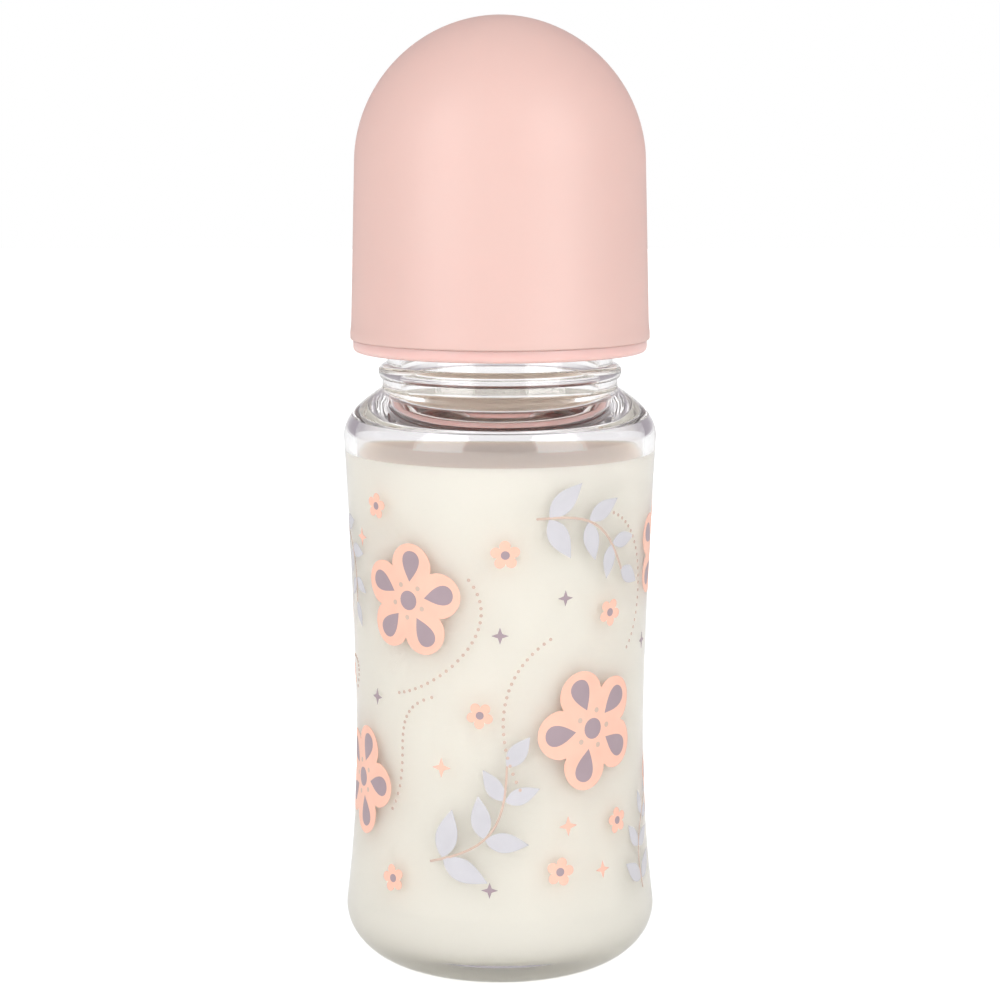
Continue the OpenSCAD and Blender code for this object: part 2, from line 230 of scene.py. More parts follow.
def thread_ridge(angle, z, top_z, turns):
    """How far a thread's ridge stands out at these angles and heights."""
    out = np.zeros(np.broadcast(angle, z).shape)
    for lap in range(math.ceil(turns) + 1):
        along = (-angle / (2 * math.pi)) % 1 + lap
        away = np.abs(z - (top_z - PITCH * along))
        flank = np.clip((THREAD_FOOT / 2 - away) / ((THREAD_FOOT - THREAD_CREST) / 2), 0, 1)
        grown = np.clip(np.minimum(along, turns - along) / THREAD_FADE, 0, 1)
        ridge = (flank**2 * (3 - 2 * flank)) * (grown**2 * (3 - 2 * grown))
        out = np.maximum(out, THREAD_OUT * ridge)
    return out


# ---------------------------------------------------------------- meshes

def make_object(name, verts, faces, material, smooth_angle=40):
    """Mesh object of points in millimetres, smooth but for edges sharper than smooth_angle."""
    mesh = bpy.data.meshes.new(name)
    mesh.from_pydata((np.asarray(verts) * MM).tolist(), [], faces)
    mesh.polygons.foreach_set("use_smooth", [True] * len(mesh.polygons))
    mesh.set_sharp_from_angle(angle=math.radians(smooth_angle))
    mesh.materials.append(material)
    obj = bpy.data.objects.new(name, mesh)
    bpy.context.scene.collection.objects.link(obj)
    return obj


def lathe(name, outline, material, segments=SEGMENTS, shape=None):
    """Closed surface of an outline turned round the axis. The outline has its material on its left.
    shape(angle, r, z) may move the points: it returns new r and z. Points on the axis become one."""
    n = len(outline)
    angle = np.linspace(0, 2 * math.pi, segments, endpoint=False)[:, None]
    r = np.tile(outline[:, 0], (segments, 1))
    z = np.tile(outline[:, 1], (segments, 1))
    if shape:
        r, z = shape(angle, r, z)
    verts = np.stack([r * np.cos(angle), r * np.sin(angle), z], axis=2).reshape(-1, 3)
    on_axis = outline[:, 0] < ON_AXIS
    index = np.arange(segments * n).reshape(segments, n)
    index[:, on_axis] = index[0, on_axis]
    faces = []
    for i in range(segments):
        here, there = index[i], index[(i + 1) % segments]
        for j in range(n):
            k = (j + 1) % n
            if on_axis[j] and on_axis[k]:
                continue
            ring = (here[j], there[j], there[k], here[k])
            faces.append([int(v) for m, v in enumerate(ring) if v != ring[m - 1]])
    used = np.zeros(segments * n, bool)
    used[index.ravel()] = True
    renumber = np.cumsum(used) - 1
    faces = [[int(renumber[v]) for v in face] for face in faces]
    return make_object(name, verts[used], faces, material)


# ---------------------------------------------------------------- materials

def linear(red, green, blue):
    """An 8-bit screen colour as linear light, by the sRGB curve."""
    def channel(c):
        c /= 255
        return c / 12.92 if c <= 0.04045 else ((c + 0.055) / 1.055) ** 2.4

    return (channel(red), channel(green), channel(blue), 1)


def principled(name, values):
    """Material with one Principled shader, and its node tree and shader."""
    material = bpy.data.materials.new(name)
    material.use_nodes = True
    tree = material.node_tree
    shader = tree.nodes["Principled BSDF"]
    for socket, value in values.items():
        shader.inputs[socket].default_value = value
    return material, tree, shader


def noise(tree, scale, detail=2.0, stretch=(1, 1, 1)):
    """Noise over the object's own coordinates, scale in bumps a metre."""
    place = tree.nodes.new("ShaderNodeTexCoord")
    mapping = tree.nodes.new("ShaderNodeMapping")
    mapping.inputs["Scale"].default_value = stretch
    texture = tree.nodes.new("ShaderNodeTexNoise")
    texture.inputs["Scale"].default_value = scale
    texture.inputs["Detail"].default_value = detail
    tree.links.new(place.outputs["Object"], mapping.inputs["Vector"])
    tree.links.new(mapping.outputs["Vector"], texture.inputs["Vector"])
    return texture.outputs["Fac"]


def add_bump(tree, shader, height, distance, strength=1.0):
    """Bumps of this height pattern, distance metres deep."""
    bump = tree.nodes.new("ShaderNodeBump")
    bump.inputs["Distance"].default_value = distance
    bump.inputs["Strength"].default_value = strength
    tree.links.new(height, bump.inputs["Height"])
    tree.links.new(bump.outputs["Normal"], shader.inputs["Normal"])


def add_tones(tree, pattern, socket, first, second, start=0.3, end=0.7):
    """Feeds a pattern into a colour socket: the first tone up to start, the second one from end on."""
    ramp = tree.nodes.new("ShaderNodeValToRGB")
    for element, position, colour in zip(ramp.color_ramp.elements, (start, end), (first, second)):
        element.position = position
        element.color = colour
    tree.links.new(pattern, ramp.inputs["Fac"])
    tree.links.new(ramp.outputs["Color"], socket)


def glass_material():
    """Clear moulded glass, with the slight waviness of a blown bottle."""
    material, tree, shader = principled("glass", {
        "Base Color": (0.982, 0.976, 0.981, 1), "Roughness": 0.0, "IOR": 1.5,
        "Transmission Weight": 1.0})
    add_bump(tree, shader, noise(tree, 45, detail=1.0, stretch=(1, 1, 0.5)), distance=0.00004)
    return material


# The milk's own colour, and a warmer pinkish tone that paints the light falling on its flat top through
# the pink cap and ring
MILK_COLOUR, PAINTED_TOP_LIGHT_COLOUR = linear(252, 249, 238), linear(255, 235, 213)
# Share of the upright in the surface's direction from which the milk's top takes the painted pinkish
# light
PAINTED_TOP_LIGHT_START = 0.85


def milk_material():
    """Cream-white milk that light spreads in, with a wet surface, and painted pinkish light on its flat
    top, where light falls on it through the pink cap and ring.
    """
    material, tree, shader = principled("milk", {
        "Roughness": 0.3, "IOR": 1.35, "Subsurface Weight": 1.0, "Subsurface Radius": (1.0, 1.0, 1.0),
        "Subsurface Scale": 0.012})
    shader.subsurface_method = "BURLEY"
    place = tree.nodes.new("ShaderNodeTexCoord")
    upright_share = tree.nodes.new("ShaderNodeSeparateXYZ")
    tree.links.new(place.outputs["Normal"], upright_share.inputs["Vector"])
    # Faces that point up get the warmer tone: painted pinkish light falling from the cap and ring above
    add_tones(tree, upright_share.outputs["Z"], shader.inputs["Base Color"],
              MILK_COLOUR, PAINTED_TOP_LIGHT_COLOUR, start=PAINTED_TOP_LIGHT_START, end=1)
    return material


def silicone_material():
    """Translucent silicone with a satin skin."""
    material, tree, shader = principled("silicone", {
        "Base Color": linear(246, 243, 238), "Roughness": 0.28, "IOR": 1.41,
        "Transmission Weight": 0.4, "Subsurface Weight": 1.0, "Subsurface Radius": (1.0, 0.95, 0.9),
        "Subsurface Scale": 0.003})
    add_bump(tree, shader, noise(tree, 900, detail=3), distance=0.00002, strength=0.6)
    return material


def ring_material():
    """Deeper pink moulded polypropylene with a satin skin."""
    material, tree, shader = principled("ring_plastic", {
        "IOR": 1.49, "Roughness": 0.34, "Subsurface Weight": 1.0,
        "Subsurface Radius": (1.0, 0.9, 0.85), "Subsurface Scale": 0.003})
    add_tones(tree, noise(tree, 60, detail=3), shader.inputs["Base Color"],
              linear(226, 185, 179), linear(229, 189, 183))
    add_bump(tree, shader, noise(tree, 2500), distance=0.00001, strength=0.5)
    return material


def cap_material():
    """Pale pink translucent polypropylene with a fine satin skin."""
    material, tree, shader = principled("cap_plastic", {
        "IOR": 1.49, "Roughness": 0.42, "Transmission Weight": 0.35})
    add_tones(tree, noise(tree, 40, detail=3, stretch=(1, 1, 0.6)), shader.inputs["Base Color"],
              linear(243, 209, 200), linear(245, 213, 204))
    add_bump(tree, shader, noise(tree, 2200), distance=0.000012, strength=0.5)
    return material


# Level of an ink's darker tone, as a share of its colour
INK_SHADE = 0.93


def ink_material(name, colour):
    """Fired enamel ink: opaque, satin, a little uneven in tone."""
    material, tree, shader = principled(name, {"IOR": 1.5, "Roughness": 0.42})
    darker = tuple(INK_SHADE * c for c in colour[:3]) + (1,)
    add_tones(tree, noise(tree, 260, detail=4), shader.inputs["Base Color"], darker, colour)
    add_bump(tree, shader, noise(tree, 1800), distance=0.00001, strength=0.5)
    return material


# ---------------------------------------------------------------- pieces

def glass_bottle():
    """Bottle with its push-up, threaded neck and rounded lip."""
    s = np.linspace(0, 1, 17)
    push_up = np.column_stack([PUSH_UP_R * s, PUSH_UP_H * (1 - s**2)])
    bead = joined(arc((NECK_R, BEAD_Z), BEAD_OUT, BEAD_H / 2, -90, 0, steps=10),
                  arc((FINISH_R, BEAD_Z), NECK_R + BEAD_OUT - FINISH_R, BEAD_H / 2, 0, 90, steps=10))
    finish = upright(FINISH_R, BEAD_Z + BEAD_H / 2, LIP_Z - LIP_ROUND, THREAD_STEP)
    lip = joined(arc((FINISH_R - LIP_ROUND, LIP_Z - LIP_ROUND), LIP_ROUND, LIP_ROUND, 0, 90, steps=6),
                 arc((MOUTH_R + LIP_ROUND, LIP_Z - LIP_ROUND), LIP_ROUND, LIP_ROUND, 90, 180, steps=6))
    cavity = cavity_side()
    end_r, end_z = cavity[-1]
    root = rounded([(MOUTH_R, LIP_Z - LIP_ROUND, 0), (MOUTH_R, ROOT_Z, BORE_ROUND),
                    (MOUTH_R + ROOT_BEND * (end_r - MOUTH_R), ROOT_Z - ROOT_FALL, BEND_ROUND),
                    (end_r, end_z, 0)], steps=8)
    outline = joined(push_up, glass_side(), bead, finish, lip, root, cavity[::-1])

    def threaded(angle, r, z):
        """The thread's ridge on the neck's finish."""
        on_finish = np.abs(r - FINISH_R) < ON_SURFACE
        return r + on_finish * thread_ridge(angle, z, GLASS_THREAD_Z, GLASS_TURNS), z

    return lathe("glass_bottle_body", outline, glass_material(), shape=threaded)


def milk():
    """Milk that wets the glass up to its level, and climbs it a little there."""
    wet = moved_left(cavity_side(), -MILK_WET)
    wet[0, 0] = 0
    level = MILK_HIGH.z
    below = wet[wet[:, 1] < level]
    edge_r = np.interp(level, wet[:, 1], wet[:, 0])
    r = edge_r * np.linspace(1, 0, MILK_RINGS) ** MILK_CROWDING
    top = np.column_stack([r, level + MENISCUS_H * np.exp((r - edge_r) / MENISCUS_W)])
    top[-1, 0] = 0
    return lathe("milk_fill", joined(below, top), milk_material())


def teat():
    """Silicone teat: clamped flange with an air channel, groove, wide base and nipple."""
    rim_z, nipple_z = TEAT_BASE_Z + TEAT_RIM_H, TEAT_BASE_Z + TEAT_BASE_H
    shaft_z = nipple_z + NIPPLE_H
    base = curve((TEAT_BASE_R, rim_z), (TEAT_BASE_R, TEAT_BASE_Z + TEAT_FOOT_PULL * TEAT_BASE_H),
                 (NIPPLE_R, TEAT_BASE_Z + TEAT_TOP_PULL * TEAT_BASE_H), (NIPPLE_R, nipple_z), steps=48)
    tip = arc((0, shaft_z), NIPPLE_TOP_R, TIP_Z - shaft_z, 0, 90, steps=24)
    outside = joined(base, tip)
    inside = moved_left(outside, TEAT_WALL)
    outside = outside[outside[:, 0] > FEED_HOLE_R]
    inside = inside[inside[:, 0] > FEED_HOLE_R]
    inner_r = GROOVE_R - TEAT_WALL
    hole = [(FEED_HOLE_R, TIP_Z), (FEED_HOLE_R, TIP_Z - TEAT_WALL)]
    flange = rounded([(inner_r, LIP_Z, 0), (FLANGE_R, LIP_Z, FLANGE_ROUND),
                      (FLANGE_R, PLATE_Z, FLANGE_ROUND), (GROOVE_R, PLATE_Z, GROOVE_ROUND),
                      (GROOVE_R, TEAT_BASE_Z, GROOVE_ROUND), (TEAT_BASE_R, TEAT_BASE_Z, TEAT_RIM_ROUND),
                      (TEAT_BASE_R, rim_z, 0)])
    # The last point is left out, because the flange starts with it
    sill = upright(inner_r, TEAT_BASE_Z + TEAT_RIM_H / 2, LIP_Z, SILL_STEP)[:-1]
    outline = joined(flange, outside, hole, inside[::-1], sill)

    def vented(angle, r, z):
        """The air channel across the underside of the flange, on one side."""
        under = (np.abs(z - LIP_Z) < ON_SURFACE) & (r >= inner_r - ON_SURFACE)
        in_channel = (np.cos(angle) < 0) & (np.abs(r * np.sin(angle)) < VENT_W / 2)
        return r, z + VENT_H * (under & in_channel)

    return lathe("teat_silicone", outline, silicone_material(), shape=vented)


def screw_ring():
    """Ring with its grip ribs, threaded bore, top plate and the flange under the cap."""
    collar_z = CAP_Z + COLLAR_H
    rib_top_z = RING_TOP_Z - RING_TOP_ROUND
    bore_top_z = PLATE_Z - PLAIN_BORE
    outside = rounded([
        (BORE_R + RING_CHAMFER, RING_Z, RING_FOOT_ROUND), (RIM_R, RING_Z, RIM_ROUND),
        (RIM_R, CAP_Z, SEAT_EDGE_ROUND), (COLLAR_R, CAP_Z, SEAT_ROUND),
        (COLLAR_R, collar_z, COLLAR_ROUND), (BARREL_R, collar_z, BARREL_FOOT_ROUND)])
    barrel = upright(BARREL_R, collar_z + BARREL_FOOT_ROUND, rib_top_z, RIB_STEP)
    top = arc((BARREL_R - RING_TOP_ROUND, rib_top_z), RING_TOP_ROUND, RING_TOP_ROUND, 0, 90, steps=6)
    plate = rounded([(BARREL_R - RING_TOP_ROUND - PLAIN_TOP, RING_TOP_Z, 0),
                     (RING_HOLE_R, RING_TOP_Z, HOLE_ROUND), (RING_HOLE_R, PLATE_Z, PLATE_ROUND),
                     (BORE_R, PLATE_Z, PLATE_ROUND), (BORE_R, bore_top_z, 0)])
    bore = upright(BORE_R, bore_top_z, RING_Z + RING_CHAMFER, THREAD_STEP)
    outline = joined(outside, barrel, top, plate, bore)

    def ribbed_and_threaded(angle, r, z):
        """Ribs on the barrel that fade at both ends, and the thread's ridge in the bore."""
        on_bore = (np.abs(r - BORE_R) < ON_SURFACE) & (z < bore_top_z + ON_SURFACE)
        on_barrel = (np.abs(r - BARREL_R) < ON_SURFACE) & (z > collar_z)
        wave = 0.5 + 0.5 * np.cos(angle * RIB_COUNT)
        ends = np.clip((z - collar_z) / RIB_FADE, 0, 1) * np.clip((rib_top_z - z) / RIB_FADE, 0, 1)
        ribs = RIB_OUT * np.clip(RIB_STEEP * wave - RIB_VALLEY, 0, 1) * ends
        return r + on_barrel * ribs - on_bore * thread_ridge(angle, z, RING_THREAD_Z, RING_TURNS), z

    return lathe("screw_ring_moulded", outline, ring_material(), segments=RIB_SEGMENTS * RIB_COUNT,
                 shape=ribbed_and_threaded)


def protective_cap():
    """Domed cap with a slightly thicker lip."""
    base_r = CAP_LIP_R - CAP_LIP_OUT
    inner_r = base_r - CAP_WALL
    blend_z = CAP_Z + 2 * CAP_LIP_H
    dome_z = CAP_TOP_Z - DOME_H

    def side_r(z):
        """Radius of the tapered side at a height."""
        return base_r - CAP_DRAFT * (z - CAP_Z)

    def dome(r, h):
        """Superellipse of radius r and height h, from the side's top up to the middle."""
        a = np.radians(np.linspace(0, 90, 73))
        points = np.column_stack([r * np.cos(a) ** (2 / DOME_POWER),
                                  dome_z + h * np.sin(a) ** (2 / DOME_POWER)])
        points[-1, 0] = 0
        return points

    lip = rounded([(inner_r, CAP_Z, CAP_EDGE_ROUND), (CAP_LIP_R, CAP_Z, CAP_RIM_ROUND),
                   (CAP_LIP_R, CAP_Z + CAP_LIP_H, CAP_LIP_ROUND),
                   (side_r(blend_z), blend_z, CAP_LIP_BLEND), (side_r(dome_z), dome_z, 0)])
    inside = dome(side_r(dome_z) - CAP_WALL, DOME_H - CAP_WALL)[::-1]
    outline = joined(lip, dome(side_r(dome_z), DOME_H), inside, [(inner_r, CAP_Z + CAP_EDGE_H)])
    return lathe("protective_cap_shell", outline, cap_material())


# ---------------------------------------------------------------- print on the glass

# The print's shapes are flat outlines in millimetres, which are wrapped round the glass. Of a place on
# it, u is the way round from the front, measured at the reference radius, and z is the height
REFERENCE_R = 30.0
PRINT_SIDE = np.array([(r, z) for r, z in glass_side() if HEEL_H < z <= SHOULDER_Z])
INK_COLOURS = {
    "peach": linear(243, 191, 170), "mauve": linear(163, 144, 151),
    "lilac": linear(200, 198, 203), "brown": linear(205, 179, 164)}
# Height of every ink's skin over the glass, so that inks that cross lie on each other, and of its foot
INK_TOP = {"lilac": 0.03, "peach": 0.035, "brown": 0.04, "mauve": 0.05}
INK_FOOT = -0.01
# Distance between the points that fill a shape, and the least from them to the points of its edge
GRID, EDGE_MARGIN = 1.6, 0.35
# Triangulation's choice of what lies inside the outline, the distances at which points of shapes and of
# numbers merge, and the area under which a number's face is left out
INSIDE_ONLY, MERGE, MERGE_NUMBER, SLIVER = 1, 1e-6, 1e-4, 1e-5
# Powers that round petals, and that make a leaf fuller at its foot and a drop slim at its point
PETAL_POWER, LEAF_POWER, DROP_POWER = 0.75, 0.8, 0.6
# Flower, in shares of its radius: notches between petals, a petal's drop, the dots between the drops,
# and the eyes
PETALS, BLOOM_NOTCH, BUD_NOTCH = 5, 0.34, 0.42
DROP_LENGTH, DROP_WIDTH, DROP_PLACE = 0.54, 0.46, 0.33
DOT_SIZE, DOT_PLACE, EYE_SIZE, BUD_EYE_SIZE = 0.045, 0.3, 0.17, 0.3
# Sprig: width of its stem, way from the stem's middle to a leaf, and lean of the leaves in degrees
STEM_WIDTH, LEAF_STALK, LEAF_LEAN = 0.45, 0.3, 52
# Pairs of leaves, and in shares of the stem's length where they start and how far they reach
LEAF_PAIRS, LEAVES_FROM, LEAVES_REACH = 3, 0.08, 0.68
# Length of a leaf at the stem's foot and how much less it is at the stem's end, in shares of the stem's
# length, and its width in shares of its own length
LEAF_LENGTH, LEAF_TAPER, LEAF_WIDTH = 0.41, 0.15, 0.46
TIP_LEAF_LENGTH, TIP_LEAF_WIDTH = 0.3, 0.15
# Dots of the dotted curves, and the inner corners of a sparkle as a share of its size
DOT_R, SPARKLE_WAIST = 0.34, 0.36

# Flowers and buds: u, z, radius, and turn in degrees
FLOWERS = [
    (-19, 79, 11.5, 12), (20, 53, 12.5, 40), (-36, 40, 11.5, 70), (46, 86, 11.0, 5),
    (52, 38, 10.5, 25), (-56, 76, 11.5, 50)]
BUDS = [
    (1, 89, 2.9, 20), (-4, 57, 2.7, 50), (12, 25, 2.9, 5), (-23, 22, 2.8, 35), (24, 76, 2.8, 60),
    (-27, 97, 2.6, 10), (27, 33, 2.7, 25), (-45, 60, 2.8, 40), (58, 54, 2.7, 15)]
# Sprigs: u and z of the foot, length, turn in degrees, and bend
SPRIGS = [
    (7, 96, 23, -30, 0.4), (-14, 27, 25, 52, -0.45), (36, 17, 19, 72, 0.35), (-46, 92, 18, -62, 0.4),
    (-62, 30, 24, 70, 0.35), (62, 60, 22, 78, -0.4)]
# Dotted curves: start, two pulls, end, and steps between dots
DOTTED = [
    ((-6, 84), (2, 74), (-12, 62), (-22, 60), 22), ((4, 42), (-2, 54), (0, 66), (10, 72), 22),
    ((30, 68), (38, 76), (34, 92), (24, 96), 22), ((-40, 58), (-34, 66), (-48, 66), (-50, 58), 16),
    ((-24, 36), (-18, 46), (-26, 56), (-14, 60), 18)]
# Sparkles: ink, u, z and size
SPARKLES = [
    ("peach", -12, 46, 2.0), ("peach", -33, 90, 1.9), ("mauve", 38, 68, 1.7), ("peach", 14, 34, 2.0),
    ("mauve", 0, 73, 1.7), ("peach", -47, 50, 2.0), ("mauve", 13, 80, 1.6), ("mauve", -29, 58, 1.7),
    ("mauve", -2, 22, 1.6), ("peach", 22, 24, 1.8)]

# Scale at the back: a long mark and its number at every step, a short mark halfway
SCALE_U = math.pi * REFERENCE_R
SCALE_STEP_ML, SCALE_TOP_ML = 30, 240
LONG_MARK, SHORT_MARK, MARK_WIDTH, MARK_TO_NUMBER = 9, 5, 0.45, 12
NUMBER_SIZE, NUMBER_DROP = 4.2, 1.5


def wrapped(points, lift):
    """Flat print points (u, z) on the glass, lifted by lift."""
    r = np.interp(points[:, 1], PRINT_SIDE[:, 1], PRINT_SIDE[:, 0]) + lift
    a = points[:, 0] / REFERENCE_R
    return np.column_stack([r * np.sin(a), -r * np.cos(a), points[:, 1]])


def filled(outline):
    """Points and triangles that fill a closed outline, small enough to bend round the glass."""
    low, high = outline.min(axis=0), outline.max(axis=0)
    columns = np.arange(low[0] + GRID / 2, high[0], GRID)
    rows = np.arange(low[1] + GRID / 2, high[1], GRID)
    inner = [Vector((x, y)) for x in columns for y in rows if inside(outline, x, y)]
    points = [Vector(p) for p in outline.tolist()] + inner
    found = delaunay_2d_cdt(points, [], [list(range(len(outline)))], INSIDE_ONLY, MERGE)
    return np.array([tuple(p) for p in found[0]]), [list(face) for face in found[2]]


def inside(outline, x, y):
    """Whether a point lies in an outline, and not close to its points."""
    ahead = np.roll(outline, -1, axis=0)
    crosses = (outline[:, 1] > y) != (ahead[:, 1] > y)
    slope = (ahead[:, 0] - outline[:, 0]) / np.where(crosses, ahead[:, 1] - outline[:, 1], 1)
    odd = np.count_nonzero(crosses & (x < outline[:, 0] + slope * (y - outline[:, 1]))) % 2
    return odd == 1 and np.hypot(outline[:, 0] - x, outline[:, 1] - y).min() > EDGE_MARGIN


class Ink:
    """Shapes of one colour, gathered as one thin closed mesh on the glass."""

    def __init__(self, colour):
        self.colour = colour
        self.verts = []
        self.faces = []

    def add_flat(self, points, triangles):
        """Adds a flat sheet of triangles as a skin with a top, a foot, and walls along its border."""
        start, n = len(self.verts), len(points)
        self.verts += wrapped(points, INK_TOP[self.colour]).tolist()
        self.verts += wrapped(points, INK_FOOT).tolist()
        edges = {}
        for face in triangles:
            a, b, c = (points[i] for i in face)
            turn = (b[0] - a[0]) * (c[1] - a[1]) - (b[1] - a[1]) * (c[0] - a[0])
            face = face if turn > 0 else face[::-1]
            self.faces.append([start + v for v in face])
            self.faces.append([start + n + v for v in face[::-1]])
            for i in range(3):
                edges[(face[i - 1], face[i])] = True
        for a, b in edges:
            if (b, a) not in edges:
                self.faces.append([start + b, start + a, start + n + a, start + n + b])

    def add(self, outline):
        """Adds the shape inside a closed outline."""
        self.add_flat(*filled(outline))

    def make(self):
        """Makes the object of all shapes added so far."""
        obj = make_object("print_" + self.colour, self.verts, self.faces,
                          ink_material("ink_" + self.colour, INK_COLOURS[self.colour]), smooth_angle=30)
        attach(obj, "bottle")


def turned(points, at, degrees):
    """Points turned, and then moved to a place."""
    a = math.radians(degrees)
    x, y = points.T
    return np.column_stack([at[0] + x * math.cos(a) - y * math.sin(a),
                            at[1] + x * math.sin(a) + y * math.cos(a)])


def disc(radius, steps=20):
    """Outline of a round dot."""
    return arc((0, 0), radius, radius, 0, 360, steps)[:-1]


def bloom(radius, notch, steps):
    """Outline of a flower with rounded petals, and notches of this depth between them."""
    a = np.linspace(0, 2 * math.pi, steps, endpoint=False)
    r = radius * (1 - notch * (1 - np.abs(np.cos(PETALS * a / 2)) ** PETAL_POWER))
    return np.column_stack([r * np.cos(a), r * np.sin(a)])


def leaf(length, width, steps=12):
    """Outline of a leaf from its foot at the origin along +x."""
    t = np.linspace(0, 1, steps + 1)
    half = width / 2 * np.sin(math.pi * t**LEAF_POWER)
    upper = np.column_stack([length * t, half])
    return np.vstack([upper, upper[-2:0:-1] * (1, -1)])


def drop(length, width, steps=18):
    """Outline of a drop with its point at the origin and its round end along +x."""
    t = np.sin(np.linspace(0, math.pi / 2, steps + 1)) ** 2
    half = width / 2 * np.sqrt(np.clip(1 - (2 * t - 1) ** 2, 0, 1)) * t**DROP_POWER
    upper = np.column_stack([length * t, half])
    return np.vstack([upper, upper[-2:0:-1] * (1, -1)])


def stroke(points, width):
    """Outline of a line of even width, with round ends, along some points."""
    left = moved_left(points, width / 2)
    right = moved_left(points, -width / 2)

    def end(at, way):
        """Points of the line's round end at a place, which the line reaches going this way."""
        start = math.atan2(way[1], way[0]) - math.pi / 2
        turn = start + np.linspace(0, math.pi, 7)[1:-1]
        return np.column_stack([at[0] + width / 2 * np.cos(turn), at[1] + width / 2 * np.sin(turn)])

    return np.vstack([left[::-1], end(points[0], points[0] - points[1]), right,
                      end(points[-1], points[-1] - points[-2])])


def flower(inks, at, radius, degrees):
    """Five-petal flower: a mauve drop on every petal, and a mauve eye in a ring of brown dots."""
    inks["peach"].add(turned(bloom(radius, BLOOM_NOTCH, steps=90), at, degrees))
    drop_on_petal = drop(DROP_LENGTH * radius, DROP_WIDTH * radius) + (DROP_PLACE * radius, 0)
    dot = disc(DOT_SIZE * radius, steps=10) + (DOT_PLACE * radius, 0)
    for i in range(PETALS):
        petal_turn = degrees + 360 / PETALS * i
        inks["mauve"].add(turned(drop_on_petal, at, petal_turn))
        inks["brown"].add(turned(dot, at, petal_turn + 180 / PETALS))
    inks["mauve"].add(turned(disc(EYE_SIZE * radius), at, degrees))


def bud(inks, at, radius, degrees):
    """Small five-petal flower with a mauve eye."""
    inks["peach"].add(turned(bloom(radius, BUD_NOTCH, steps=50), at, degrees))
    inks["mauve"].add(turned(disc(BUD_EYE_SIZE * radius, steps=12), at, degrees))


def sprig(inks, at, length, degrees, bend):
    """Bent stem with pairs of pale leaves and one at its end."""
    t = np.linspace(0, 1, 15)
    stem = np.column_stack([length * t, bend * length * np.sin(math.pi * t) / 2])
    inks["brown"].add(turned(stroke(stem, STEM_WIDTH), at, degrees))
    for i in range(LEAF_PAIRS):
        share = LEAVES_FROM + LEAVES_REACH * i / (LEAF_PAIRS - 1)
        foot = (length * share, bend * length * math.sin(math.pi * share) / 2)
        size = length * (LEAF_LENGTH - LEAF_TAPER * share)
        blade = leaf(size, LEAF_WIDTH * size) + (LEAF_STALK, 0)
        for side in (-1, 1):
            lean = side * LEAF_LEAN + math.degrees(bend) * math.cos(math.pi * share)
            inks["lilac"].add(turned(turned(blade, foot, lean), at, degrees))
    tip_leaf = leaf(TIP_LEAF_LENGTH * length, TIP_LEAF_WIDTH * length) + stem[-1]
    inks["lilac"].add(turned(tip_leaf, at, degrees))


def dotted(inks, start, pull_a, pull_b, end, count):
    """Row of small dots along a curve."""
    for point in curve(start, pull_a, pull_b, end, count):
        inks["brown"].add(disc(DOT_R, steps=10) + point)


def sparkle(ink, at, size):
    """Small four-pointed star."""
    a = np.radians(np.arange(0, 360, 45))
    r = np.where(np.arange(8) % 2, SPARKLE_WAIST * size, size)
    ink.add(np.column_stack([at[0] + r * np.cos(a), at[1] + r * np.sin(a)]))


def all_print():
    """Flowers, sprigs, dotted curves and sparkles round the glass, and the scale at the back."""
    inks = {colour: Ink(colour) for colour in INK_COLOURS}
    for u, z, radius, degrees in FLOWERS:
        flower(inks, (u, z), radius, degrees)
    for u, z, radius, degrees in BUDS:
        bud(inks, (u, z), radius, degrees)
    for u, z, length, degrees, bend in SPRIGS:
        sprig(inks, (u, z), length, degrees, bend)
    for start, pull_a, pull_b, end, count in DOTTED:
        dotted(inks, start, pull_a, pull_b, end, count)
    for colour, u, z, size in SPARKLES:
        sparkle(inks[colour], (u, z), size)
    scale_marks(inks["mauve"])
    for ink in inks.values():
        ink.make()


def scale_marks(ink):
    """Graduated scale at the back, whose marks stand at their volumes."""
    heights = volume_heights()
    left = SCALE_U - MARK_TO_NUMBER
    for volume in range(SCALE_STEP_ML // 2, SCALE_TOP_ML + 1, SCALE_STEP_ML // 2):
        z = heights(volume)
        whole = volume % SCALE_STEP_ML == 0
        right = left + (LONG_MARK if whole else SHORT_MARK)
        ink.add(stroke(np.column_stack([np.linspace(left, right, 9), np.full(9, z)]), MARK_WIDTH))
        if whole:
            points, triangles = flat_number(str(volume), NUMBER_SIZE)
            ink.add_flat(points + (SCALE_U, z - NUMBER_DROP), triangles)


def volume_heights():
    """Function that gives the height at which a volume in millilitres stands in the glass."""
    cavity = cavity_side()
    r, z = cavity[:, 0], cavity[:, 1]
    slices = np.diff(z) * math.pi * (r[1:] ** 2 + r[1:] * r[:-1] + r[:-1] ** 2) / 3
    filled_ml = np.r_[0, np.cumsum(slices)] / 1000
    return lambda volume: float(np.interp(volume, filled_ml, z))


def flat_number(text, size):
    """Points and triangles of a plain number, size millimetres tall in the type's measure."""
    letters = bpy.data.curves.new("number", "FONT")
    letters.body = text
    letters.size = size
    letters.resolution_u = 3
    holder = bpy.data.objects.new("number", letters)
    bpy.context.scene.collection.objects.link(holder)
    bpy.context.view_layer.update()
    mesh = holder.to_mesh()
    corners = [v.co.xy for v in mesh.vertices]
    faces = [list(face.vertices) for face in mesh.polygons if face.area > SLIVER]
    found = delaunay_2d_cdt(corners, [], faces, INSIDE_ONLY, MERGE_NUMBER)
    triangles = [list(face) for face, source in zip(found[2], found[5]) if source]
    bpy.data.objects.remove(holder)
    bpy.data.curves.remove(letters)
    return np.array([tuple(p) for p in found[0]]), triangles


# ---------------------------------------------------------------- stage, lights and camera

